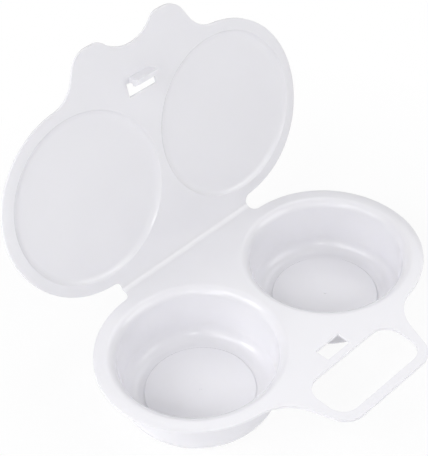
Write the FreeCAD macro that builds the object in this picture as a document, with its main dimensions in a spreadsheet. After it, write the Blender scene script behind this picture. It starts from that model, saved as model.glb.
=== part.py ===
import FreeCAD, Part
import math
import os
import Sketcher
from FreeCAD import Placement, Rotation, Vector

# A microwave egg cooker for two eggs, moulded in one piece: a tray with two cups and a handle,
# and a lid that folds over it on a living hinge.
# X runs along the hinge, -Y is the handle side and +Z is up. Lengths are millimetres, angles degrees.
# The tray and the hinge are drawn with z = 0 at the tray's top face and x = 0 halfway between the
# cups. The lid is drawn lying open and flat, with its origin on the hinge axis, and is then turned
# up. At the end all three move together, so that the origin lies under the middle of the part.

# Driving sizes: name, value, what it is.
SIZES = [
    ("mouth_radius", 39.5, "inner radius of a cup where its wall would meet the flange's top"),
    ("mouth_gap", 12.0, "distance between the two mouths at their nearest"),
    ("flange_width", 10.1, "width of the flange round a mouth"),
    ("flange_thick", 1.3, "thickness of the tray's flange"),
    ("wall_draft", 4.5, "angle by which a cup's wall leans in towards the floor"),
    ("cup_wall", 1.7, "thickness of a cup's wall and floor"),
    ("cup_depth", 29.8, "depth inside a cup at the foot of its wall"),
    ("lip_round", 5.0, "radius of the lip where the flange turns down into a cup"),
    ("floor_round", 8.0, "inner radius between a cup's wall and its floor"),
    ("floor_ring", 1.7, "width of the low flat ring that runs round the raised middle of a floor"),
    ("floor_panel_rise", 0.75, "how far the middle of the floor stands above its edge"),
    ("gate_radius", 0.7, "radius of the moulding gate's nub in the middle of a floor"),
    ("gate_height", 0.3, "height of the gate's nub"),
    ("hinge_setback", 5.45, "distance from the flange's rim to the hinge axis"),
    ("neck_half", 44.2, "half the width of the neck at the hinge"),
    ("web_half", 2.0, "half the length of the hinge web, across the fold"),
    ("web_thick", 0.4, "thickness of the hinge web"),
    ("web_taper", 2.6, "length over which the flange and the lid thin down to the web"),
    ("closed_gap", 0.3, "gap between the flange and the closed lid"),
    ("lid_angle", 75.3, "angle of the lid above the open and flat position, as it stands"),
    ("flange_land", 0.3, "width of the flat between a cup's lip and the rolled rim"),
    ("roll_drop", 0.8, "how far the rolled rim drops at its outermost point"),
    ("handle_reach", 82.75, "distance from the cups' axes to the handle's front edge"),
    ("handle_bar", 4.75, "width of the handle's front bar"),
    ("handle_side_bar", 3.55, "width of the handle's side bar where the slot's straight end starts"),
    ("handle_half_end", 29.0, "half the width of the handle at its front, before rounding"),
    ("handle_flare", 0.35, "widening of the handle's side for each millimetre towards the cups"),
    ("handle_root_round", 22.0, "radius between the flange and the handle's side"),
    ("handle_end_round", 11.0, "radius of the handle's outer corners"),
    ("slot_round", 9.0, "radius of the finger slot's corners"),
    ("latch_inset", 7.8, "how far the latch hole's near edge lies inside the flange's reach"),
    ("latch_half", 7.8, "half the width of the latch hole"),
    ("latch_length", 7.7, "length of the latch hole"),
    ("latch_land", 3.7, "width of the land between the latch hole and the finger slot"),
    ("lid_inset", 0.4, "how far the lid's rim stays inside the flange's rim"),
    ("lid_thick", 1.2, "thickness of the lid"),
    ("panel_land", 0.5, "width of the flat between a lid panel's edge and the rolled rim"),
    ("panel_slope", 3.5, "width of a panel's sloping edge"),
    ("panel_depth", 2.0, "how far a lid panel is pushed outwards"),
    ("panel_edge_round", 1.5, "inner radius at a panel's edge"),
    ("panel_foot_round", 3.0, "inner radius at the foot of a panel's edge"),
    ("ear_length", 20.65, "how far the lid's ears stand out past its rim"),
    ("ear_tip", 14.8, "width of an ear's straight tip, before rounding"),
    ("ear_flare", 0.5, "widening of an ear's outer side for each millimetre towards the hinge"),
    ("ear_root_round", 17.0, "radius between the lid's round edge and an ear"),
    ("ear_outer_round", 12.0, "radius of an ear's outer corner"),
    ("ear_inner_round", 8.0, "radius of an ear's inner corner"),
    ("scoop_radius", 20.0, "radius of the finger scoop between the ears"),
    ("scoop_depth", 8.6, "depth of the scoop below the ears' tips"),
    ("hook_side_play", 1.3, "gap between an end of the latch hook and its hole"),
    ("hook_height", 7.2, "height of the hook above the lid's inner face"),
    ("hook_thick", 2.6, "thickness of the hook's stem"),
    ("hook_nose", 1.2, "how far the hook's nose stands out from its stem, towards the hinge"),
    ("hook_ledge", 2.2, "height of the nose's catching face above the lid's inner face"),
    ("hook_flat", 1.7, "height of the nose's straight front"),
    ("hook_lead", 1.4, "depth of the slope that leads the hook into its hole, at the tip"),
    ("latch_play", 0.3, "gap between the hook's nose and the latch hole's near edge"),
    ("window_margin", 2.0, "how far the window that frees the hook's nose runs past the hook's ends"),
    ("window_length", 7.0, "length of that window from the stem towards the hinge"),
]

# Sizes that follow from the driving ones: name, formula, what it is.
FITS = [
    ("cup_spacing", "2 * sizes.mouth_radius + sizes.mouth_gap",
     "distance between the two cup axes"),
    ("cup_x", "fits.cup_spacing / 2", "distance from the middle to a cup's axis"),
    ("flange_radius", "sizes.mouth_radius + sizes.flange_width",
     "outer radius of the tray's flange round a cup"),
    ("hinge_reach", "fits.flange_radius + sizes.hinge_setback",
     "distance from the cups' axes to the hinge axis"),
    ("hinge_edge", "fits.hinge_reach - sizes.web_half",
     "distance from the cups' axes to the edge that carries the hinge web"),
    ("neck_offset", "sizes.neck_half - fits.cup_x",
     "how far the neck's side lies outside a cup's axis"),
    ("neck_round", "0.98 * (fits.hinge_edge^2 + fits.neck_offset^2 - fits.flange_radius^2)"
     " / (2 * (fits.flange_radius - fits.neck_offset))",
     "radius between the neck's side and the rim, which just fits above the hinge web"),
    ("lean", "tan(sizes.wall_draft * 1 deg)", "lean of a cup's wall for each millimetre of depth"),
    ("lip_run", "tan((90 - sizes.wall_draft) / 2 * 1 deg)",
     "length that a round between level and wall takes up for each millimetre of its radius"),
    ("roll_width", "sizes.flange_width - sizes.lip_round * fits.lip_run - sizes.flange_land",
     "widest part of the rim that rolls away from the mating faces"),
    ("wall_across", "sizes.cup_wall / cos(sizes.wall_draft * 1 deg)",
     "thickness of a cup's wall measured level"),
    ("cup_bottom", "sizes.cup_depth + sizes.cup_wall", "depth of a cup outside"),
    ("wall_foot", "sizes.mouth_radius - sizes.cup_depth * fits.lean",
     "inner radius of a cup at the foot of its wall"),
    ("outer_root", "sizes.mouth_radius + fits.wall_across - sizes.flange_thick * fits.lean",
     "outer radius of a cup just under the flange"),
    ("outer_foot", "sizes.mouth_radius + fits.wall_across - fits.cup_bottom * fits.lean",
     "outer radius of a cup at the foot of its wall"),
    ("under_lip", "0.7 * (sizes.lip_round - sizes.cup_wall)",
     "width of the bevel under the lip, which follows the lip's round"),
    ("floor_panel_radius", "fits.wall_foot - sizes.floor_round * fits.lip_run"
     " - sizes.floor_ring - sizes.floor_panel_rise",
     "radius of the raised middle of a cup's floor"),
    ("roll_radius", "(fits.roll_width^2 + sizes.roll_drop^2) / (2 * sizes.roll_drop)",
     "radius of the rolled rim's section"),
    ("slot_far", "sizes.handle_reach - sizes.handle_bar",
     "distance from the cups' axes to the finger slot's far edge"),
    ("latch_near", "fits.flange_radius - sizes.latch_inset",
     "distance from the cups' axes to the latch hole's near edge"),
    ("latch_far", "fits.latch_near + sizes.latch_length",
     "distance from the cups' axes to the latch hole's far edge"),
    ("slot_near", "fits.latch_far + sizes.latch_land",
     "distance from the cups' axes to the finger slot's near edge"),
    ("slot_half", "sizes.handle_half_end + sizes.handle_flare * (sizes.handle_bar + sizes.slot_round"
     " * 0.5) - sizes.handle_side_bar", "half the width of the finger slot"),
    ("handle_side", "sizes.handle_reach - fits.flange_radius",
     "how far the handle stands out past the flange's rim"),
    ("lid_radius", "fits.flange_radius - sizes.lid_inset",
     "outer radius of the lid round a panel"),
    ("lid_top", "-sizes.closed_gap / 2", "height of the lid's inner face over the hinge axis"),
    ("panel_radius", "fits.lid_radius - fits.roll_width - sizes.panel_land",
     "radius of a lid panel at its edge"),
    ("panel_foot_radius", "fits.panel_radius - sizes.panel_slope",
     "radius of a lid panel at the foot of its sloping edge"),
    ("panel_shift", "sizes.lid_thick * tan(atan(sizes.panel_depth / sizes.panel_slope) / 2)",
     "how much wider a panel's corners are outside than inside"),
    ("ear_reach", "fits.hinge_reach + fits.lid_radius + sizes.ear_length",
     "distance from the hinge axis to the tips of the lid's ears"),
    ("scoop_half", "sqrt(sizes.scoop_radius^2 - (sizes.scoop_radius - sizes.scoop_depth)^2)",
     "half the width of the scoop at the ears' tips"),
    ("ear_half_end", "fits.scoop_half + sizes.ear_tip",
     "half the width over both ears at their tips, before rounding"),
    ("hook_half", "sizes.latch_half - sizes.hook_side_play", "half the width of the latch hook"),
    ("hook_back", "fits.hinge_reach + fits.latch_near + sizes.latch_play + sizes.hook_nose",
     "distance from the hinge axis to the hook's stem"),
    ("window_half", "fits.hook_half + sizes.window_margin",
     "half the width of the window that frees the hook's nose"),
]

# Margin by which cutting profiles stand clear of what they cut.
CLEAR = 2.0
# How near an edge has to be to where it is looked for.
NEAR = 0.01
# Angles by which the sectors of the rolled rim run past what they shape and trim.
ROLL_ANGLE_OVER = "5 deg"
TRIM_ANGLE_OVER = "2 deg"


def make_sheet(doc):
    """Write the driving sizes into a spreadsheet, one named cell each."""
    sheet = doc.addObject("Spreadsheet::Sheet", "sizes")
    for row, (name, value, meaning) in enumerate(SIZES, start=1):
        sheet.set(f"A{row}", name)
        sheet.set(f"B{row}", str(value))
        sheet.set(f"C{row}", meaning)
        sheet.setAlias(f"B{row}", name)
    doc.recompute()
    return sheet


def make_fits(doc):
    """Keep the sizes that follow from the driving ones as named values, and give all as numbers."""
    fits = doc.addObject("App::VarSet", "fits")
    for name, formula, meaning in FITS:
        fits.addProperty("App::PropertyFloat", name, "Fits", meaning)
        fits.setExpression(name, formula)
    doc.recompute()
    real = {name: float(doc.sizes.get(name)) for name, value, meaning in SIZES}
    real.update((name, float(getattr(fits, name))) for name, formula, meaning in FITS)
    return real


def new_body(doc, name):
    body = doc.addObject("PartDesign::Body", name)
    body.Label = name
    return body


def origin_plane(body, role):
    return next(item for item in body.Origin.OriginFeatures if item.Role == role)


def new_sketch(body, name, role, offset=("0", "0", "0")):
    """A sketch on one of the body's own planes, moved by an offset in that plane's directions."""
    sketch = body.newObject("Sketcher::SketchObject", name)
    sketch.AttachmentSupport = [(origin_plane(body, role), "")]
    sketch.MapMode = "FlatFace"
    for axis, amount in zip("xyz", offset):
        sketch.setExpression(f".AttachmentOffset.Base.{axis}", amount)
    return sketch


def place_point(sketch, geometry, point, place, near=(1.0, 1.0)):
    """Fix a point of a sketch at a place that is given as two formulas.

    Numbers near the place are given for an arc's points, so that the arc never shrinks to nothing.
    """
    for kind, amount, number in zip(("DistanceX", "DistanceY"), place, near):
        index = sketch.addConstraint(Sketcher.Constraint(kind, -1, 1, geometry, point, number))
        sketch.setExpression(f"Constraints[{index}]", amount)


def draw_chain(sketch, pieces):
    """A closed outline of curves, each given with the numbers of its first and its last point."""
    for curve, first, last in pieces:
        sketch.addGeometry(curve, False)
    for index, (curve, first, last) in enumerate(pieces):
        following = (index + 1) % len(pieces)
        joined = Sketcher.Constraint("Coincident", index, last, following, pieces[following][1])
        sketch.addConstraint(joined)


def draw_polygon(sketch, places):
    """A closed outline of straight lines through the given places."""
    line = Part.LineSegment(Vector(0, 0, 0), Vector(1, 1, 0))
    draw_chain(sketch, [(line, 1, 2) for place in places])
    for index, place in enumerate(places):
        place_point(sketch, index, 1, place)


def draw_circle(sketch, centre, radius):
    """A circle with its centre and radius given as formulas."""
    circle = sketch.addGeometry(Part.Circle(Vector(0, 0, 0), Vector(0, 0, 1), 1.0), False)
    place_point(sketch, circle, 3, centre)
    index = sketch.addConstraint(Sketcher.Constraint("Radius", circle, 1.0))
    sketch.setExpression(f"Constraints[{index}]", radius)


def extrude(body, kind, name, sketch, length, down=True, both_sides=False):
    """A Pad or a Pocket of a sketch, with its length given as a formula."""
    feature = body.newObject("PartDesign::" + kind, name)
    feature.Profile = sketch
    if both_sides:
        feature.SideType = "Symmetric"
    feature.Reversed = down
    feature.setExpression("Length", length)
    return feature


def turn(body, kind, name, sketch, angle=None):
    """A Revolution or a Groove about the sketch's own vertical axis, all round or through an angle.

    The angle is a formula, and its sector is centred straight out from the axis.
    """
    feature = body.newObject("PartDesign::" + kind, name)
    feature.Profile = sketch
    feature.ReferenceAxis = (sketch, ["V_Axis"])
    if angle:
        feature.Midplane = True
        feature.setExpression("Angle", angle)
    return feature


def mirror(body, name, features):
    """Repeat features on the other side of the plane between the two cups."""
    feature = body.newObject("PartDesign::Mirrored", name)
    feature.Originals = features
    feature.MirrorPlane = (origin_plane(body, "YZ_Plane"), [""])
    body.Tip = feature
    return feature


def fillet(body, name, radius, wanted):
    """Round every edge of the body that the test names."""
    body.Document.recompute()
    base = body.Tip
    edges = [f"Edge{index}" for index, edge in enumerate(base.Shape.Edges, start=1) if wanted(edge)]
    if not edges:
        raise RuntimeError(f"{body.Label}: no edge found for {name}")
    feature = body.newObject("PartDesign::Fillet", name)
    feature.Base = (base, edges)
    feature.setExpression("Radius", radius)
    return feature


def upright(edge):
    """The place of an upright straight edge, with its x counted outwards on either side, or None."""
    ends = [vertex.Point for vertex in edge.Vertexes]
    if len(ends) != 2 or math.hypot(ends[0].x - ends[1].x, ends[0].y - ends[1].y) > NEAR:
        return None
    return Vector(abs(ends[0].x), ends[0].y, 0)


def at(edge, test):
    """Whether an edge is upright and its place passes a test."""
    place = upright(edge)
    return place is not None and test(place)


def ring(edge, radius, height):
    """Whether an edge is a level circle of this radius at this height."""
    curve = edge.Curve
    if not isinstance(curve, Part.Circle) or math.hypot(curve.Axis.x, curve.Axis.y) > NEAR:
        return False
    return abs(curve.Radius - radius) < NEAR and abs(curve.Center.z - height) < NEAR


def on_rim(place, real, radius, centre_y):
    """Whether a place is on the flange's or the lid's round rim."""
    return abs(math.hypot(place.x - real["cup_x"], place.y - centre_y) - radius) < NEAR


def roll_angles(rim):
    """Formulas for the sectors in which a rolled rim is turned and trimmed.

    The roll fades out where its starting circle crosses the rim. Its own corners lie further out,
    and the trimming sector has to take them in.
    """
    start = "fits.hinge_reach"
    inset = f"({start} + fits.roll_width - {rim})"
    far = f"({start} + fits.roll_width + {CLEAR})"
    crossing = f"acos(({start}^2 + {inset}^2 - {rim}^2) / (2 * {start} * {inset}))"
    half = f"({crossing} + {ROLL_ANGLE_OVER})"
    corner = f"atan({far} * sin({half}) / ({far} * cos({half}) - {inset}))"
    return inset, far, f"2 * {half}", f"2 * ({corner} + {TRIM_ANGLE_OVER})"


def make_rims(body, centre_y, top, thick, rim, real):
    """A round half of the flange about each cup, with its rolled outer edge.

    Both halves are made before anything is sunk into either, because they overlap in the middle.
    """
    disc = new_sketch(body, "RimOutline", "XY_Plane", ("0", "0", top))
    draw_circle(disc, ("fits.cup_x", centre_y), rim)
    disc_pad = extrude(body, "Pad", "Rim", disc, thick)

    # The roll starts on a circle that reaches as far as the hinge axis, set inwards from the cup, so
    # that it fades out before it comes to the hinge or the handle.
    inset, far, roll_angle, trim_angle = roll_angles(rim)
    offset = (f"fits.cup_x - {inset}", top, f"-({centre_y})")
    fill = new_sketch(body, "RollUnderside", "XZ_Plane", offset)
    draw_roll(fill, real, far, (f"-{thick}", "0"), (-real["flange_thick"], 0.0))
    roll_fill = turn(body, "Revolution", "RollFill", fill, roll_angle)
    shave = new_sketch(body, "RollTopside", "XZ_Plane", offset)
    draw_roll(shave, real, far, ("0", f"{CLEAR}"), (0.0, CLEAR))
    roll_shave = turn(body, "Groove", "RollShave", shave, roll_angle)

    edge = new_sketch(body, "RimEdge", "XZ_Plane", ("fits.cup_x", top, f"-({centre_y})"))
    deep = f"-({thick} + sizes.roll_drop + 2 * {CLEAR})"
    wide = f"({rim} + fits.roll_width + 2 * {CLEAR})"
    draw_polygon(edge, [(rim, f"{CLEAR}"), (wide, f"{CLEAR}"), (wide, deep), (rim, deep)])
    edge_trim = turn(body, "Groove", "RimTrim", edge, trim_angle)
    mirror(body, "LeftRim", [disc_pad, roll_fill, roll_shave, edge_trim])


def draw_roll(sketch, real, far, levels, guess):
    """An arc that leaves a level line at its start and curves down, closed by lines above it.

    The levels are the arc's and the upper line's, as formulas. The guess has about the same values
    as numbers, so that the outline is drawn nearly in place before the formulas set it.
    """
    begin = real["hinge_reach"]
    reach = real["roll_width"] + CLEAR
    radius = real["roll_radius"]
    circle = Part.Circle(Vector(begin, guess[0] - radius, 0), Vector(0, 0, 1), radius)
    arc = Part.ArcOfCircle(circle, math.acos(reach / radius), math.pi / 2)
    near = Vector(begin, guess[0], 0)
    near_top = Vector(begin, guess[1], 0)
    far_top = Vector(begin + reach, guess[1], 0)
    far_end = arc.StartPoint
    draw_chain(sketch, [(arc, 1, 2), (Part.LineSegment(near, near_top), 1, 2),
                        (Part.LineSegment(near_top, far_top), 1, 2),
                        (Part.LineSegment(far_top, far_end), 1, 2)])
    level, upper = levels
    start = "fits.hinge_reach"
    place_point(sketch, 0, 3, (start, f"{level} - fits.roll_radius"), (begin, guess[0] - radius))
    place_point(sketch, 0, 2, (start, level), near)
    place_point(sketch, 2, 1, (start, upper))
    place_point(sketch, 3, 1, (far, upper))
    index = sketch.addConstraint(Sketcher.Constraint("DistanceX", -1, 1, 0, 1, begin + reach))
    sketch.setExpression(f"Constraints[{index}]", far)


def make_tray(doc, real):
    """The tray: flange, handle, latch hole and the two cups."""
    body = new_body(doc, "cup_tray")
    flared = "(sizes.handle_half_end + sizes.handle_flare * sizes.handle_reach)"
    plan = new_sketch(body, "MiddleOutline", "XY_Plane")
    right_side = [("sizes.neck_half", "fits.hinge_edge"), ("sizes.neck_half", "0"), (flared, "0"),
                  ("sizes.handle_half_end", "-sizes.handle_reach")]
    left_side = [(f"-{x}", y) for x, y in reversed(right_side)]
    draw_polygon(plan, right_side + left_side)
    extrude(body, "Pad", "Middle", plan, "sizes.flange_thick")
    make_rims(body, "0", "0", "sizes.flange_thick", "fits.flange_radius", real)

    cup_axis = ("fits.cup_x", "0", "0")
    outside = new_sketch(body, "CupOutside", "XZ_Plane", cup_axis)
    panel = "(fits.floor_panel_radius - sizes.cup_wall * tan(22.5 deg))"
    lip_out = "(fits.outer_root + fits.under_lip)"
    draw_polygon(outside, [
        ("0", "0"),
        (lip_out, "0"),
        (lip_out, "-sizes.flange_thick"),
        ("fits.outer_root - fits.under_lip * fits.lean", "-sizes.flange_thick - fits.under_lip"),
        ("fits.outer_foot", "-fits.cup_bottom"),
        (f"{panel} + sizes.floor_panel_rise", "-fits.cup_bottom"),
        (panel, "-fits.cup_bottom + sizes.floor_panel_rise"),
        ("0", "-fits.cup_bottom + sizes.floor_panel_rise"),
    ])
    cup_body = turn(body, "Revolution", "CupBody", outside)
    inside = new_sketch(body, "CupInside", "XZ_Plane", cup_axis)
    floor = "(-sizes.cup_depth + sizes.floor_panel_rise)"
    draw_polygon(inside, [
        ("0", f"{CLEAR}"),
        (f"sizes.mouth_radius + {CLEAR} * fits.lean", f"{CLEAR}"),
        ("fits.wall_foot", "-sizes.cup_depth"),
        ("fits.floor_panel_radius + sizes.floor_panel_rise", "-sizes.cup_depth"),
        ("fits.floor_panel_radius", floor),
        ("sizes.gate_radius", floor),
        ("sizes.gate_radius", f"{floor} + sizes.gate_height"),
        ("0", f"{floor} + sizes.gate_height"),
    ])
    cup_hollow = turn(body, "Groove", "CupHollow", inside)
    mirror(body, "LeftCup", [cup_body, cup_hollow])

    fillet(body, "Lip", "sizes.lip_round",
           lambda edge: ring(edge, real["mouth_radius"], 0.0))
    fillet(body, "FloorCorner", "sizes.floor_round",
           lambda edge: ring(edge, real["wall_foot"], -real["cup_depth"]))
    fillet(body, "CupFoot", "sizes.floor_round + sizes.cup_wall",
           lambda edge: ring(edge, real["outer_foot"], -real["cup_bottom"]))

    round_neck(body, "fits.flange_radius", 0, real)
    reach = real["handle_reach"]
    # The root's round is kept to what the handle's side has room for.
    fillet(body, "HandleRoot", "min(sizes.handle_root_round; 0.7 * fits.handle_side)",
           lambda edge: at(edge, lambda place: on_rim(place, real, real["flange_radius"], 0)
                           and abs(place.x - real["handle_half_end"]
                                   - real["handle_flare"] * (reach + place.y)) < NEAR))
    fillet(body, "HandleEnd", "sizes.handle_end_round",
           lambda edge: at(edge, lambda place: abs(place.y + reach) < NEAR))

    cut_depth = f"sizes.flange_thick + 2 * {CLEAR}"
    slot = new_sketch(body, "SlotOutline", "XY_Plane", ("0", "0", f"{CLEAR}"))
    draw_polygon(slot, rectangle("fits.slot_half", "-fits.slot_far", "-fits.slot_near"))
    extrude(body, "Pocket", "FingerSlot", slot, cut_depth, down=False)
    # The corners' round is kept to what the slot's length has room for.
    fillet(body, "SlotCorners", "min(sizes.slot_round; 0.45 * (fits.slot_far - fits.slot_near))",
           lambda edge: at(edge, lambda place: abs(place.x - real["slot_half"]) < NEAR))
    hole = new_sketch(body, "LatchOutline", "XY_Plane", ("0", "0", f"{CLEAR}"))
    draw_polygon(hole, rectangle("sizes.latch_half", "-fits.latch_far", "-fits.latch_near"))
    extrude(body, "Pocket", "LatchHole", hole, cut_depth, down=False)
    thin_to_web(body, "fits.hinge_edge", "-1", "0", "sizes.flange_thick")
    return body


def rectangle(half, low, high):
    """The corners of a rectangle that is centred on the plane between the cups."""
    return [(f"-{half}", low), (half, low), (half, high), (f"-{half}", high)]


def round_neck(body, rim, centre_y, real):
    """Round the corner where the neck's side meets the rim, towards the hinge."""
    radius = real[rim.removeprefix("fits.")]
    fillet(body, "NeckRound", "fits.neck_round",
           lambda edge: at(edge, lambda place: on_rim(place, real, radius, centre_y)
                           and abs(place.x - real["neck_half"]) < NEAR))


def thin_to_web(body, edge, inwards, top, thick):
    """Thin the far side of a sheet down to the hinge web's thickness, towards its hinge edge."""
    wedge = new_sketch(body, "WebTaper", "YZ_Plane")
    beyond = f"{edge} - {inwards} * {CLEAR}"
    draw_polygon(wedge, [
        (edge, f"{top} - sizes.web_thick"),
        (f"{edge} + {inwards} * sizes.web_taper", f"{top} - {thick}"),
        (f"{edge} + {inwards} * sizes.web_taper", f"{top} - {thick} - {CLEAR}"),
        (beyond, f"{top} - {thick} - {CLEAR}"),
        (beyond, f"{top} - sizes.web_thick"),
    ])
    width = f"2 * (sizes.neck_half + fits.neck_round) + {CLEAR}"
    extrude(body, "Pocket", "WebThinning", wedge, width, both_sides=True)


def make_lid(doc, real):
    """The lid, lying open and flat: sheet, ears, panels and latch hook."""
    body = new_body(doc, "lid")
    centre = "fits.hinge_reach"
    top = "fits.lid_top"
    flared = f"(fits.ear_half_end + sizes.ear_flare * (fits.ear_reach - {centre}))"
    plan = new_sketch(body, "MiddleOutline", "XY_Plane", ("0", "0", top))
    right_side = [("sizes.neck_half", "sizes.web_half"), ("sizes.neck_half", centre), (flared, centre),
                  ("fits.ear_half_end", "fits.ear_reach")]
    left_side = [(f"-{x}", y) for x, y in reversed(right_side)]
    draw_polygon(plan, right_side + left_side)
    extrude(body, "Pad", "Middle", plan, "sizes.lid_thick")
    make_rims(body, centre, top, "sizes.lid_thick", "fits.lid_radius", real)

    panel_axis = ("fits.cup_x", top, f"-{centre}")
    outside = new_sketch(body, "PanelOutside", "XZ_Plane", panel_axis)
    deep = "(sizes.panel_depth + sizes.lid_thick)"
    draw_polygon(outside, [
        ("0", "0"),
        ("fits.panel_radius + fits.panel_shift", "0"),
        ("fits.panel_radius + fits.panel_shift", "-sizes.lid_thick"),
        ("fits.panel_foot_radius + fits.panel_shift", f"-{deep}"),
        ("0", f"-{deep}"),
    ])
    panel_body = turn(body, "Revolution", "PanelBody", outside)
    inside = new_sketch(body, "PanelInside", "XZ_Plane", panel_axis)
    draw_polygon(inside, [
        ("0", f"{CLEAR}"),
        (f"fits.panel_radius + {CLEAR} * sizes.panel_slope / sizes.panel_depth", f"{CLEAR}"),
        ("fits.panel_foot_radius", "-sizes.panel_depth"),
        ("0", "-sizes.panel_depth"),
    ])
    panel_hollow = turn(body, "Groove", "PanelHollow", inside)
    mirror(body, "LeftPanel", [panel_body, panel_hollow])

    fillet(body, "PanelEdge", "sizes.panel_edge_round",
           lambda edge: ring(edge, real["panel_radius"], real["lid_top"]))
    fillet(body, "PanelFoot", "sizes.panel_foot_round",
           lambda edge: ring(edge, real["panel_foot_radius"], real["lid_top"] - real["panel_depth"]))

    round_neck(body, "fits.lid_radius", real["hinge_reach"], real)
    scoop = new_sketch(body, "ScoopOutline", "XY_Plane", ("0", "0", f"{top} + {CLEAR}"))
    draw_circle(scoop, ("0", "fits.ear_reach - sizes.scoop_depth + sizes.scoop_radius"),
                "sizes.scoop_radius")
    extrude(body, "Pocket", "Scoop", scoop, f"sizes.lid_thick + 2 * {CLEAR}", down=False)
    reach = real["ear_reach"]
    half_end = real["ear_half_end"]
    fillet(body, "EarRoot", "sizes.ear_root_round",
           lambda edge: at(edge, lambda place: on_rim(place, real, real["lid_radius"], real["hinge_reach"])
                           and abs(place.x - half_end - real["ear_flare"] * (reach - place.y)) < NEAR))
    fillet(body, "EarOuter", "sizes.ear_outer_round",
           lambda edge: at(edge, lambda place: abs(place.y - reach) < NEAR
                           and abs(place.x - half_end) < NEAR))
    fillet(body, "EarInner", "sizes.ear_inner_round",
           lambda edge: at(edge, lambda place: abs(place.y - reach) < NEAR
                           and abs(place.x - real["scoop_half"]) < NEAR))

    window = new_sketch(body, "WindowOutline", "XY_Plane", ("0", "0", f"{top} + {CLEAR}"))
    draw_polygon(window, rectangle("fits.window_half", "fits.hook_back - sizes.window_length",
                                   "fits.hook_back"))
    extrude(body, "Pocket", "HookWindow", window, f"sizes.lid_thick + 2 * {CLEAR}", down=False)
    hook = new_sketch(body, "HookOutline", "YZ_Plane")
    tip = f"{top} + sizes.hook_height"
    ledge = f"{top} + sizes.hook_ledge"
    nose = "fits.hook_back - sizes.hook_nose"
    stem_front = "fits.hook_back + sizes.hook_thick"
    draw_polygon(hook, [
        ("fits.hook_back", f"{top} - sizes.lid_thick"),
        ("fits.hook_back", ledge),
        (nose, ledge),
        (nose, f"{ledge} + sizes.hook_flat"),
        (f"{nose} + sizes.hook_lead", tip),
        (stem_front, tip),
        (stem_front, f"{top} - sizes.lid_thick"),
    ])
    extrude(body, "Pad", "Hook", hook, "2 * fits.hook_half", both_sides=True)
    thin_to_web(body, "sizes.web_half", "1", top, "sizes.lid_thick")
    return body


def make_hinge(doc, real):
    """The hinge web, bent to the angle at which the lid stands, flush with both inner faces."""
    body = new_body(doc, "living_hinge")
    fold = math.radians(real["lid_angle"])
    tangent = "(sizes.web_half + sizes.closed_gap / 2 * tan(sizes.lid_angle / 2 * 1 deg))"
    bend = f"({tangent} / tan(sizes.lid_angle / 2 * 1 deg))"
    outer_bend = f"({bend} + sizes.web_thick)"
    bend_now = real["web_half"] / math.tan(fold / 2) + real["closed_gap"] / 2
    section = new_sketch(body, "WebSection", "YZ_Plane")
    centre = Vector(real["hinge_edge"], bend_now, 0)
    inner, outer = (Part.ArcOfCircle(Part.Circle(centre, Vector(0, 0, 1), radius),
                                     -math.pi / 2, fold - math.pi / 2)
                    for radius in (bend_now, bend_now + real["web_thick"]))
    lid_end = Part.LineSegment(inner.EndPoint, outer.EndPoint)
    tray_end = Part.LineSegment(outer.StartPoint, inner.StartPoint)
    draw_chain(section, [(inner, 1, 2), (lid_end, 1, 2), (outer, 2, 1), (tray_end, 1, 2)])
    place_point(section, 0, 3, ("fits.hinge_edge", bend), centre)
    section.addConstraint(Sketcher.Constraint("Coincident", 0, 3, 2, 3))
    place_point(section, 0, 1, ("fits.hinge_edge", "0"), inner.StartPoint)
    place_point(section, 2, 1, ("fits.hinge_edge", "-sizes.web_thick"), outer.StartPoint)
    # Centre and start already fix an arc's radius, so that its end needs only a height.
    for arc, radius, end in ((0, bend, inner.EndPoint), (2, outer_bend, outer.EndPoint)):
        index = section.addConstraint(Sketcher.Constraint("DistanceY", -1, 1, arc, 2, end.y))
        section.setExpression(f"Constraints[{index}]", f"{bend} - {radius} * cos(sizes.lid_angle * 1 deg)")
    extrude(body, "Pad", "Web", section, "2 * sizes.neck_half", both_sides=True)
    return body


def check(doc, bodies):
    """Stop if any object of the document failed or any sub-part is missing or not valid."""
    for item in doc.Objects:
        if "Invalid" in item.State or "Error" in item.State:
            raise RuntimeError(f"{item.Label} failed: {item.State}")
    for body in bodies:
        if body.Shape.isNull() or not body.Shape.isValid():
            raise RuntimeError(f"{body.Label} has no valid shape")
        if len(body.Shape.Solids) != 1:
            raise RuntimeError(f"{body.Label} is {len(body.Shape.Solids)} solids, not one")
        if not 0 < body.Shape.Volume < 1e6:
            raise RuntimeError(f"{body.Label} has a volume of {body.Shape.Volume}")


def main():
    doc = FreeCAD.newDocument("egg_cooker")
    make_sheet(doc)
    real = make_fits(doc)
    tray = make_tray(doc, real)
    hinge = make_hinge(doc, real)
    lid = make_lid(doc, real)
    bodies = [tray, hinge, lid]
    axis = Vector(0, real["hinge_reach"], real["closed_gap"] / 2)
    lid.Placement = Placement(axis, Rotation(Vector(1, 0, 0), real["lid_angle"]))
    doc.recompute()
    check(doc, bodies)

    whole = Part.Compound([body.Shape for body in bodies])
    box = whole.optimalBoundingBox(False)
    shift = Vector(-(box.XMin + box.XMax) / 2, -(box.YMin + box.YMax) / 2, -box.ZMin)
    for body in bodies:
        body.Placement = Placement(shift, Rotation()).multiply(body.Placement)
    doc.recompute()
    check(doc, bodies)

    os.makedirs("parts", exist_ok=True)
    for body in bodies:
        body.Shape.exportStep(f"parts/{body.Label}.step")
        solid = body.Shape.optimalBoundingBox(False)
        print(body.Label, "volume", round(body.Shape.Volume, 1),
              "from", [round(v, 3) for v in (solid.XMin, solid.YMin, solid.ZMin)],
              "to", [round(v, 3) for v in (solid.XMax, solid.YMax, solid.ZMax)])
    print("hinge axis", [round(v, 4) for v in axis + shift], "shift", [round(v, 4) for v in shift])


main()
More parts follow.
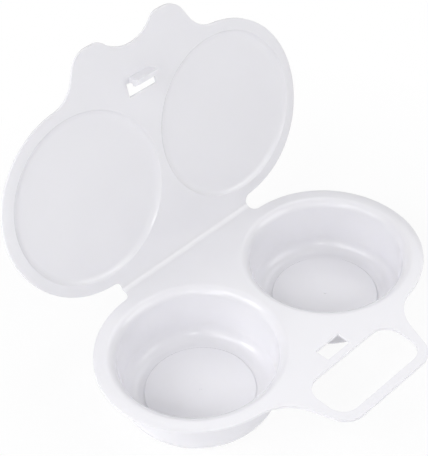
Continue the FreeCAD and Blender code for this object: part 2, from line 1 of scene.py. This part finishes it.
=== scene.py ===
# %% [markdown]
# # A microwave egg cooker with its lid up
# The part is one moulding of glossy white polypropylene: a flat tray with two round cups, and a lid
# that folds over it on a living hinge. Everything built here sits around them, in metres, with +Z
# up and the handle towards -Y.

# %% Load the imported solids
import math

import bpy
from mathutils import Matrix, Vector


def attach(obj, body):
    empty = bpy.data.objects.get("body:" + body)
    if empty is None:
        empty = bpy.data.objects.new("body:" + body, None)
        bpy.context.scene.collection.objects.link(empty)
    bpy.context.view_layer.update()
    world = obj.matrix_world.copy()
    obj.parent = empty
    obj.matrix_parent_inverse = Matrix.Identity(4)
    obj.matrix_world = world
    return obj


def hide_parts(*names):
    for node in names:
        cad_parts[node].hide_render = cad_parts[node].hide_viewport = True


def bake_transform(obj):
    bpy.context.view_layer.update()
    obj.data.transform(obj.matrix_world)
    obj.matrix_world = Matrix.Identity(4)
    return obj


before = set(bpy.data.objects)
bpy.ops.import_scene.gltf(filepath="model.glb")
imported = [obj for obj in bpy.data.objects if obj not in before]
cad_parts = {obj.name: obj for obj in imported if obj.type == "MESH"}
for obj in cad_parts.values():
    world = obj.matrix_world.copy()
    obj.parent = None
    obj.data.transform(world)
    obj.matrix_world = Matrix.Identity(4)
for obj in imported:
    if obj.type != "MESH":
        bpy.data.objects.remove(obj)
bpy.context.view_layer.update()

# %% [markdown]
# ## The camera
# The photograph looks down at the cooker from the left of its handle. A camera could be dragged
# into place by eye, but it is easier to correct when it is set from the way it looks: an azimuth, a
# height above the horizon, a small roll and a distance. Its target is found by moving sideways and
# up from the middle of the tray's top face.

# %% Camera
IMAGE_HEIGHT = 456      # pixels, the longer side of the picture
SENSOR = 0.036          # Blender's sensor along that side
MM_PER_METRE = 1000     # the lens is given in millimetres
TRAY_TOP_CENTRE = Vector((0, -0.00265, 0.0315))
AZIMUTH, ELEVATION, ROLL = (math.radians(a) for a in (-41.8556, 42.1601, -3.4387))
DISTANCE = 0.605035
FOCAL_PIXELS = 1225.403
TARGET_RIGHT, TARGET_UP = -0.024565, 0.035139
NEAREST_SEEN, FARTHEST_SEEN = 0.01, 20

back = Vector((math.sin(AZIMUTH) * math.cos(ELEVATION),
               -math.cos(AZIMUTH) * math.cos(ELEVATION), math.sin(ELEVATION)))
level_right = Vector((math.cos(AZIMUTH), math.sin(AZIMUTH), 0))
level_up = back.cross(level_right)
right = math.cos(ROLL) * level_right + math.sin(ROLL) * level_up
up = math.cos(ROLL) * level_up - math.sin(ROLL) * level_right
place = TRAY_TOP_CENTRE + TARGET_RIGHT * right + TARGET_UP * up + DISTANCE * back
turn = Matrix((right, up, back)).transposed().to_4x4()
camera_data = bpy.data.cameras.new("camera")
camera_data.lens = FOCAL_PIXELS / IMAGE_HEIGHT * SENSOR * MM_PER_METRE
camera_data.clip_start, camera_data.clip_end = NEAREST_SEEN, FARTHEST_SEEN
camera = bpy.data.objects.new("camera", camera_data)
bpy.context.scene.collection.objects.link(camera)
camera.matrix_world = Matrix.Translation(place) @ turn
bpy.context.scene.camera = camera
bpy.context.scene.view_settings.view_transform = "Standard"
print("camera at", [round(v, 4) for v in place], "lens", round(camera_data.lens, 2))

# %% [markdown]
# ## The surround
# The photograph is a cut-out on white. A stronger light would turn the background white, but it
# would bleach the cooker as well. So the surround is white only to the camera and to reflections,
# which Light Path tells apart, while the light that falls on the cooker comes from a pale sky.


# %% Helpers for nodes
def set_inputs(tree, node, inputs):
    """Sets a node's inputs by name: an output is linked in, and anything else is a value."""
    for name, value in inputs.items():
        if isinstance(value, bpy.types.NodeSocket):
            tree.links.new(value, node.inputs[name])
        else:
            node.inputs[name].default_value = value


def add_node(tree, kind, inputs, **settings):
    """A new shader node of this kind, with its settings and inputs."""
    node = tree.nodes.new("ShaderNode" + kind)
    for setting, value in settings.items():
        setattr(node, setting, value)
    set_inputs(tree, node, inputs)
    return node


def seen_directly(tree):
    """The output that is 1 for rays from the camera, a reflection or through glass, else 0."""
    path = add_node(tree, "LightPath", {}).outputs
    either = add_node(tree, "Math", {0: path["Is Camera Ray"], 1: path["Is Glossy Ray"]},
                      operation="MAXIMUM")
    any_of_them = add_node(tree, "Math", {0: either.outputs[0], 1: path["Is Transmission Ray"]},
                           operation="MAXIMUM")
    return any_of_them.outputs[0]


# %% World
WHITE = (1, 1, 1, 1)
SEEN_AS_WHITE = 1.0
SKY_COLOUR = (0.97, 0.975, 1.0, 1)
SKY_LIGHT = 0.2

world = bpy.data.worlds.new("surround")
bpy.context.scene.world = world
world.use_nodes = True
sky = world.node_tree
sky.nodes.clear()
lit = add_node(sky, "Background", {"Color": SKY_COLOUR, "Strength": SKY_LIGHT})
shown = add_node(sky, "Background", {"Color": WHITE, "Strength": SEEN_AS_WHITE})
lit_or_shown = add_node(sky, "MixShader", {"Fac": seen_directly(sky),
                                           1: lit.outputs[0], 2: shown.outputs[0]})
add_node(sky, "OutputWorld", {"Surface": lit_or_shown.outputs[0]})
print("world", world.name, "lights with strength", SKY_LIGHT)

# %% [markdown]
# ## The lamps
# One lamp would leave hard dark shadows in the cups. Five round lamps, each a metre or so away, do
# the work instead. Four of them stand on the left, because the photograph's light comes mostly from
# there. A wide lamp gives a soft highlight in the gloss, and a small one a sharp highlight.

# %% Lamps
LAMPS_AIM = Vector((0, 0, 0.05))
LAMP_DISTANCE = 1.2


def add_lamp(name, direction, size, watts):
    """A round lamp that shines at the cooker from this direction."""
    data = bpy.data.lights.new(name, "AREA")
    data.shape = "DISK"
    data.size = size
    data.energy = watts
    lamp = bpy.data.objects.new(name, data)
    bpy.context.scene.collection.objects.link(lamp)
    towards = Vector(direction).normalized()
    facing = towards.to_track_quat("Z", "Y").to_matrix().to_4x4()
    lamp.matrix_world = Matrix.Translation(LAMPS_AIM + LAMP_DISTANCE * towards) @ facing
    print("lamp", name, [round(v, 3) for v in lamp.location])


add_lamp("left_lamp", (-0.7, -0.05, 0.7), size=0.6, watts=3.5)
add_lamp("low_left_lamp", (-0.85, -0.35, 0.3), size=0.5, watts=2.3)
add_lamp("left_back_lamp", (-0.75, 0.45, 0.5), size=0.6, watts=4.6)
add_lamp("front_left_lamp", (-0.5, -0.6, 0.6), size=0.22, watts=1.4)
add_lamp("front_right_lamp", (0.5, -0.75, 0.5), size=0.95, watts=5.6)

# %% [markdown]
# A wide soft box hangs behind and to the right of the cooker and faces down. The camera sees it
# mirrored in the front of the flange and in the handle, which are brighter for it, while the part
# of the flange near the hinge mirrors the lid and stays duller.

# %% Soft box
SOFT_BOX_SIZE = (1.2, 1.05)
SOFT_BOX_WATTS = 6.6
SOFT_BOX_PLACE = (1.0, 0.43, 1.53)

box_light = bpy.data.lights.new("soft_box", "AREA")
box_light.shape = "RECTANGLE"
box_light.size, box_light.size_y = SOFT_BOX_SIZE
box_light.energy = SOFT_BOX_WATTS
soft_box = bpy.data.objects.new("soft_box", box_light)
bpy.context.scene.collection.objects.link(soft_box)
soft_box.location = SOFT_BOX_PLACE
print("soft box over", soft_box.location[:])

# %% [markdown]
# ## The floor
# The cooker stands on a plain pale floor, a wide disc. It has to carry the soft shadow under the
# cups and still end in pure white. So near the cooker a tenth of what the camera sees is a matt
# surface, which takes the shadow, and that share fades to nothing outwards.

# %% Floor
FLOOR_SIDES, FLOOR_RADIUS = 64, 2.0

bpy.ops.object.select_all(action="DESELECT")
bpy.ops.mesh.primitive_circle_add(vertices=FLOOR_SIDES, radius=FLOOR_RADIUS, fill_type="NGON",
                                  location=(0, 0, 0))
floor = bpy.context.object
floor.name = "floor"
print("floor", floor.name, "with a radius of", FLOOR_RADIUS)

# %% Floor finish
FLOOR_COLOUR = (0.94, 0.94, 0.95, 1)
FADE_FROM, FADE_TO = 0.1, 0.25      # distances from the middle of the floor
WHITE_SHARE_NEAR, WHITE_SHARE_FAR = 0.9, 1.0

floor_finish = bpy.data.materials.new("pale_floor")
floor_finish.use_nodes = True
tree = floor_finish.node_tree
tree.nodes.clear()
matt = add_node(tree, "BsdfDiffuse", {"Color": FLOOR_COLOUR})
white = add_node(tree, "Emission", {"Color": WHITE, "Strength": SEEN_AS_WHITE})
place_on_floor = add_node(tree, "TexCoord", {})
from_middle = add_node(tree, "VectorMath", {0: place_on_floor.outputs["Object"]},
                       operation="LENGTH")
whiter_outwards = add_node(tree, "MapRange", {
    "Value": from_middle.outputs["Value"], "From Min": FADE_FROM, "From Max": FADE_TO,
    "To Min": WHITE_SHARE_NEAR, "To Max": WHITE_SHARE_FAR})
share = add_node(tree, "Math", {0: seen_directly(tree), 1: whiter_outwards.outputs["Result"]},
                 operation="MULTIPLY")
matt_or_white = add_node(tree, "MixShader", {"Fac": share.outputs[0],
                                             1: matt.outputs[0], 2: white.outputs[0]})
add_node(tree, "OutputMaterial", {"Surface": matt_or_white.outputs[0]})
floor.data.materials.append(floor_finish)
print("floor finish", floor_finish.name, "fades to white at", FADE_TO)

# %% [markdown]
# ## White polypropylene
# The plastic is a clean white with a faint lavender tint and a soft gloss. Light that enters it
# comes out again a little way off, which softens its shadows. A single colour and one roughness
# would look like paint, so a soft cloud of noise varies both a little. It reads Object coordinates,
# so the pattern stays on the piece when the lid moves.

# %% Material
PLASTIC_IOR = 1.49
SOAK_SHARE, SOAK_RADIUS, SOAK_SCALE = 0.2, (0.002, 0.002, 0.0022), 1.0
CLOUD_SCALE, CLOUD_DETAIL = 25.0, 3.0
DARKER_WHITE, LIGHTER_WHITE = (0.82, 0.815, 0.845, 1), (0.86, 0.855, 0.885, 1)
GLOSSIEST, DULLEST = 0.14, 0.2

plastic = bpy.data.materials.new("white_polypropylene")
plastic.use_nodes = True
tree = plastic.node_tree
place_in = add_node(tree, "TexCoord", {})
cloud = add_node(tree, "TexNoise", {"Vector": place_in.outputs["Object"], "Scale": CLOUD_SCALE,
                                    "Detail": CLOUD_DETAIL})
tint = add_node(tree, "Mix", {"Factor": cloud.outputs["Fac"], "A": DARKER_WHITE,
                              "B": LIGHTER_WHITE}, data_type="RGBA")
gloss = add_node(tree, "MapRange", {"Value": cloud.outputs["Fac"], "To Min": GLOSSIEST,
                                    "To Max": DULLEST})
set_inputs(tree, tree.nodes["Principled BSDF"], {
    "Base Color": tint.outputs["Result"], "Roughness": gloss.outputs["Result"],
    "IOR": PLASTIC_IOR, "Subsurface Weight": SOAK_SHARE, "Subsurface Radius": SOAK_RADIUS,
    "Subsurface Scale": SOAK_SCALE})
print("material", plastic.name, "roughness", GLOSSIEST, "to", DULLEST)

# %% [markdown]
# ## How the pieces are made
# The cooker comes out of its mould in one shot, so its shape is all in the moulding: flat sheets,
# drafted walls and small rounds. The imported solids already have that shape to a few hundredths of
# a millimetre, but as loose, flat-shaded triangles. A piece therefore starts from a merged copy of
# its solid, whose flat triangles are joined into whole faces before anything is drawn on it. Then
# it gets what a solid leaves out: finer steps, softened edges and smooth shading.

# %% Helpers for copies and selections
MERGE_DISTANCE = 2e-7
FLAT_ANGLE = math.radians(0.3)
SELECT_MODES = {"faces": (False, False, True), "edges": (False, True, False)}


def select_only(piece):
    bpy.ops.object.select_all(action="DESELECT")
    piece.select_set(True)
    bpy.context.view_layer.objects.active = piece


def pick(piece, kind, wanted):
    """In edit mode, selects just the faces or edges whose corners pass the test."""
    bpy.context.tool_settings.mesh_select_mode = SELECT_MODES[kind]
    bpy.ops.mesh.select_all(action="DESELECT")
    bpy.ops.object.mode_set(mode="OBJECT")
    mesh = piece.data
    count = 0
    for part in mesh.polygons if kind == "faces" else mesh.edges:
        part.select = wanted([mesh.vertices[i].co for i in part.vertices])
        count += part.select
    bpy.ops.object.mode_set(mode="EDIT")
    return count


def merged_copy(node_name, piece_name, comes_off=None):
    """A copy of a solid's mesh, less the faces that come off, with its flat faces made whole."""
    piece = bpy.data.objects.new(piece_name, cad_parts[node_name].data.copy())
    bpy.context.scene.collection.objects.link(piece)
    piece.data.materials.clear()
    select_only(piece)
    bpy.ops.object.mode_set(mode="EDIT")
    bpy.ops.mesh.select_all(action="SELECT")
    bpy.ops.mesh.remove_doubles(threshold=MERGE_DISTANCE)
    if comes_off:
        print(piece_name, "faces off", pick(piece, "faces", comes_off))
        bpy.ops.mesh.delete(type="FACE")
        bpy.ops.mesh.select_all(action="SELECT")
    bpy.ops.mesh.dissolve_limited(angle_limit=FLAT_ANGLE)
    bpy.ops.object.mode_set(mode="OBJECT")
    print(piece_name, len(piece.data.vertices), "points", len(piece.data.polygons), "faces")
    return piece


# %% [markdown]
# ## Edges and shading
# A mould can't make a knife edge, and a thin pale line along each edge is much of what tells the
# eye that it looks at plastic. The sharp edges get a round of about a fifth of a millimetre. Where
# two pieces of the moulding meet at the hinge, the edge stays sharp, because a round there would
# show as a groove. Weighted normals keep the flat faces flat beside the rounds.

# %% Soften the edges and smooth the faces
EDGE_ROUND = 0.00022
ROUND_SEGMENTS, ROUND_PROFILE = 3, 0.5
SHARP_FROM = math.radians(38)
SMOOTH_UNDER = math.radians(35)
FLAT_FACES_WEIGHT = 80


def soften_edges(piece, meets_hinge):
    """Rounds a piece's sharp edges, apart from those that lie where it meets the hinge."""
    select_only(piece)
    bpy.ops.object.mode_set(mode="EDIT")
    bpy.ops.mesh.select_all(action="DESELECT")
    bpy.context.tool_settings.mesh_select_mode = SELECT_MODES["edges"]
    bpy.ops.mesh.edges_select_sharp(sharpness=SHARP_FROM)
    bpy.ops.object.mode_set(mode="OBJECT")
    for edge in piece.data.edges:
        if edge.select and all(meets_hinge(piece.data.vertices[i].co) for i in edge.vertices):
            edge.select = False
    print(piece.name, "edges to round", sum(edge.select for edge in piece.data.edges))
    bpy.ops.object.mode_set(mode="EDIT")
    bpy.ops.mesh.bevel(offset=EDGE_ROUND, segments=ROUND_SEGMENTS, profile=ROUND_PROFILE,
                       clamp_overlap=True)
    bpy.ops.object.mode_set(mode="OBJECT")


def smooth(piece):
    """Smooth shading between faces that nearly line up, with the flat faces kept flat."""
    select_only(piece)
    bpy.ops.object.shade_smooth_by_angle(angle=SMOOTH_UNDER)
    bpy.ops.object.modifier_add(type="WEIGHTED_NORMAL")
    weighted = piece.modifiers[-1]
    weighted.keep_sharp = True
    weighted.weight = FLAT_FACES_WEIGHT
    bpy.ops.object.modifier_apply(modifier=weighted.name)
    print(piece.name, len(piece.data.vertices), "points", len(piece.data.polygons), "faces")


# %% [markdown]
# ## The tray
# The tray carries both cups, the handle loop and the square hole that the latch hook snaps into.
# It could be lofted and cut anew, but the solid has every wall and round of it already, so it is
# copied and finished. It meets the hinge web along one straight edge, which the rounding leaves.

# %% Tray
HINGE_EDGE_Y = 0.0504
TRAY_TOP = 0.0315
EDGE_LINE, EDGE_DEPTH = 2e-5, 0.00045     # how near a point is to count as on a hinge edge


def on_tray_hinge_edge(point):
    return abs(point.y - HINGE_EDGE_Y) < EDGE_LINE and abs(point.z - TRAY_TOP) < EDGE_DEPTH


tray = merged_copy("cup_tray", "tray_moulding")
soften_edges(tray, on_tray_hinge_edge)
smooth(tray)

# %% [markdown]
# ## The lid
# The lid stands open at 75.3 degrees. On its inner face a round panel lies over each cup, a
# millimetre and a half behind the rim. The way down to it is a hollow curve, steepest at the rim,
# so the light draws a line there that is sharp outside and fades inwards. Sculpting couldn't keep
# such a curve round, so it is drawn ring by ring. The old panel's faces come off the copy, and the
# open edge is extruded inwards: each new ring is scaled about the panel's centre and pushed back by
# the depth so far. The same rings on the other face keep the wall's thickness.

# %% Lid measures
LID_ANGLE = math.radians(75.3)
HINGE_AXIS = Vector((0, 0.0524, 0.03165))
LID_TOP, LID_THICK = -0.00015, 0.0012
PANEL_CENTRE_X, PANEL_CENTRE_OUT = 0.0455, 0.05505
along_lid = Vector((0, math.cos(LID_ANGLE), math.sin(LID_ANGLE)))
off_lid = Vector((0, -math.sin(LID_ANGLE), math.cos(LID_ANGLE)))


def on_lid(x, out, height):
    """A point of the standing lid, given by its place while the lid lies flat."""
    return HINGE_AXIS + Vector((x, 0, 0)) + out * along_lid + height * off_lid


def flat_place(point):
    """The same the other way round: across, out from the hinge axis, and height."""
    arm = point - HINGE_AXIS
    return arm.x, arm.dot(along_lid), arm.dot(off_lid)


def from_panel_axis(point, side):
    """How far a point is from the axis of the left (-1) or right (1) panel."""
    across, out, _ = flat_place(point)
    return math.hypot(across - side * PANEL_CENTRE_X, out - PANEL_CENTRE_OUT)


print("panel centre", [round(v, 5) for v in on_lid(PANEL_CENTRE_X, PANEL_CENTRE_OUT, LID_TOP)])

# %% Draw the panels' steps again
OLD_PANEL = 0.04393     # the radius that all faces of an old panel lie within
SAME_HEIGHT = 1e-5
# The radius and the depth of each ring, from the rim inwards.
STEP = [(0.0435, 0.0), (0.0434, 0.00002), (0.0433, 0.00008), (0.0432, 0.00017),
        (0.0429, 0.00046), (0.0426, 0.0007), (0.0420, 0.00104), (0.0414, 0.00127),
        (0.0408, 0.00142), (0.0402, 0.00151), (0.0396, 0.00154), (0.0388, 0.00154),
        (0.028, 0.00154), (0.014, 0.00154)]
# For each face of the lid: its height, the old circle's radius, and the new rings' shift outwards.
# The outer face comes first, so that none of its rings lies where the inner one's is looked for.
FACES = [(LID_TOP - LID_THICK, 0.04384, 0.0003), (LID_TOP, 0.043918, 0.0)]


def in_old_panel(corners):
    return any(all(from_panel_axis(corner, side) < OLD_PANEL for corner in corners)
               for side in (-1, 1))


def on_open_ring(corners, side, face_height):
    return all(from_panel_axis(corner, side) < OLD_PANEL
               and abs(flat_place(corner)[2] - face_height) < SAME_HEIGHT for corner in corners)


def draw_ring(centre, old_radius, new_radius, push):
    """Extrudes the selected ring, scales it about its centre and pushes it along the axis."""
    bpy.ops.mesh.extrude_edges_move()
    bpy.ops.transform.resize(value=(new_radius / old_radius,) * 3, center_override=centre)
    bpy.ops.transform.translate(value=push)


lid = merged_copy("lid", "lid_moulding", comes_off=in_old_panel)
select_only(lid)
bpy.ops.object.mode_set(mode="EDIT")
for side in (-1, 1):
    for face_height, radius, shift in FACES:
        found = pick(lid, "edges", lambda corners: on_open_ring(corners, side, face_height))
        print("side", side, "ring of", found, "edges")
        centre = on_lid(side * PANEL_CENTRE_X, PANEL_CENTRE_OUT, face_height)
        sunk = 0.0
        for step_radius, depth in STEP:
            push = (sunk - depth) * off_lid
            draw_ring(centre, radius, step_radius + shift, push)
            centre = centre + push
            radius, sunk = step_radius + shift, depth
        bpy.ops.mesh.edge_face_add()
bpy.ops.mesh.select_all(action="SELECT")
bpy.ops.mesh.normals_make_consistent(inside=False)
bpy.ops.object.mode_set(mode="OBJECT")

# %% Finish the lid
LID_EDGE_OUT = 0.002


def on_lid_hinge_edge(point):
    _, out, height = flat_place(point)
    return abs(out - LID_EDGE_OUT) < EDGE_LINE and abs(height - LID_TOP) < EDGE_DEPTH


soften_edges(lid, on_lid_hinge_edge)
smooth(lid)

# %% [markdown]
# ## The hinge web
# Between tray and lid the same plastic is only 0.4 mm thick, so that it folds like a hinge. A
# bridge between the two edges would be a straight strip, so a narrow upright plane is laid on the
# tray's edge and spun about the axis of the bend up to the lid, which makes the curved web in one
# step.

# %% Hinge web
WEB_THICK = 0.0004
NECK_HALF = 0.0442
WEB_HALF, CLOSED_GAP = 0.002, 0.0003
WEB_STEPS = 16
half_fold = math.tan(LID_ANGLE / 2)
bend_radius = (WEB_HALF + CLOSED_GAP / 2 * half_fold) / half_fold
bend_centre = Vector((0, HINGE_EDGE_Y, TRAY_TOP + bend_radius))

bpy.ops.object.select_all(action="DESELECT")
bpy.ops.mesh.primitive_plane_add(size=1, location=(0, 0, 0))
web = bpy.context.object
web.name = web.data.name = "hinge_web"
bpy.ops.object.mode_set(mode="EDIT")
bpy.ops.transform.rotate(value=math.pi / 2, orient_axis="X", center_override=(0, 0, 0))
bpy.ops.transform.resize(value=(2 * NECK_HALF, 1, WEB_THICK), center_override=(0, 0, 0))
bpy.ops.transform.translate(value=(0, HINGE_EDGE_Y, TRAY_TOP - WEB_THICK / 2))
bpy.ops.mesh.subdivide(number_cuts=1)
bpy.ops.mesh.select_all(action="SELECT")
bpy.ops.mesh.spin(steps=WEB_STEPS, angle=-LID_ANGLE, center=bend_centre, axis=(1, 0, 0))
bpy.ops.mesh.select_all(action="SELECT")
bpy.ops.mesh.remove_doubles(threshold=MERGE_DISTANCE)
bpy.ops.mesh.normals_make_consistent(inside=False)
bpy.ops.object.mode_set(mode="OBJECT")
smooth(web)
print("web from", [round(v, 5) for v in min((v.co for v in web.data.vertices), key=lambda c: c.z)])

# %% [markdown]
# ## Finish and bodies
# All three are the same plastic, and each hides the imported solid whose place it takes. The tray
# hangs under the empty of the fixed body and the lid under that of its own body, each found by
# name, while the web's place is baked into its points.

# %% Give the pieces their plastic, and the tray and lid their bodies
for piece, node_name in ((tray, "cup_tray"), (lid, "lid"), (web, "living_hinge")):
    piece.data.materials.clear()
    piece.data.materials.append(plastic)
    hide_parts(node_name)
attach(tray, "base")
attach(lid, "lid")
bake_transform(web)
